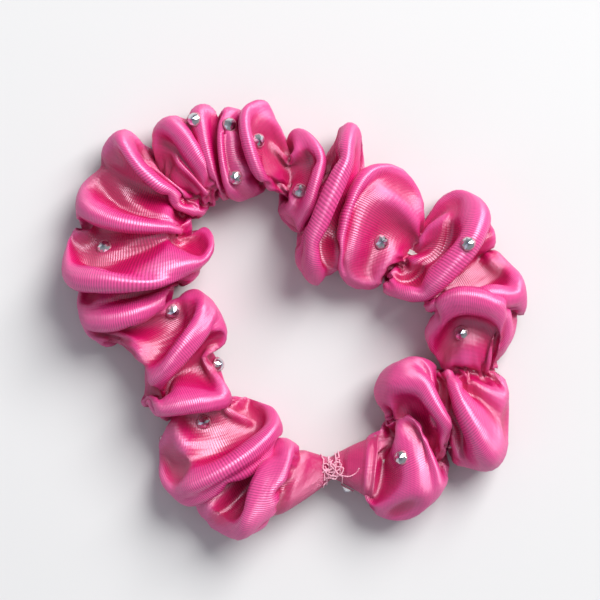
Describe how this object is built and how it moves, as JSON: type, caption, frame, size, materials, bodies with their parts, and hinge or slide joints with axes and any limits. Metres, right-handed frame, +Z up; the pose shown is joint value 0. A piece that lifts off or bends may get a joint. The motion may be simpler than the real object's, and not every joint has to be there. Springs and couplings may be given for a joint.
{
  "type": "scrunchie",
  "caption": "Slim gathered satin scrunchie: a cloth tube bunched on a loop of flat elastic, closed by hand stitches, dotted with small faceted metal studs.",
  "frame": {"origin": "on the table, under the middle of the loop's outer box", "axes": "+Z up from the table; the hand-stitched closure is on the -Y side of the loop; the loop lies flat in XY"},
  "size_m": [0.0985, 0.0928, 0.018],
  "materials": {
    "satin": "hot-pink polyester satin, glossy warp face outside",
    "sewing_thread": "pink spun polyester thread, long seam inside the tube",
    "closing_thread": "pale pink sewing thread, hand wound and knotted",
    "elastic": "white flat braided elastic",
    "tack_thread": "white polyester thread",
    "stud_metal": "bright stamped aluminium with facets",
    "hot_melt_glue": "translucent hot-melt adhesive"
  },
  "bodies": {
    "near_half": {"cover_near": "satin", "seam_thread_near": "sewing_thread", "closing_thread": "closing_thread", "elastic_band": "elastic", "elastic_tack": "tack_thread", "stud_glue_near": "hot_melt_glue", "stud_01": "stud_metal", "stud_02": "stud_metal", "stud_03": "stud_metal", "stud_04": "stud_metal", "stud_05": "stud_metal", "stud_06": "stud_metal", "stud_07": "stud_metal", "stud_08": "stud_metal", "stud_09": "stud_metal", "stud_10": "stud_metal", "stud_11": "stud_metal", "stud_12": "stud_metal", "stud_13": "stud_metal", "stud_14": "stud_metal", "stud_15": "stud_metal"},
    "far_half": {"cover_far": "satin", "seam_thread_far": "sewing_thread", "stud_glue_far": "hot_melt_glue", "stud_16": "stud_metal", "stud_17": "stud_metal", "stud_18": "stud_metal", "stud_19": "stud_metal", "stud_20": "stud_metal", "stud_21": "stud_metal", "stud_22": "stud_metal", "stud_23": "stud_metal", "stud_24": "stud_metal", "stud_25": "stud_metal", "stud_26": "stud_metal", "stud_27": "stud_metal", "stud_28": "stud_metal"}
  },
  "joints": [
    {"name": "stretch", "type": "slide", "parent": "near_half", "child": "far_half", "axis": [0, 1, 0], "range_m": [0, 0.04], "stiffness_N_per_m": 100, "deforming": ["elastic_band"]}
  ]
}
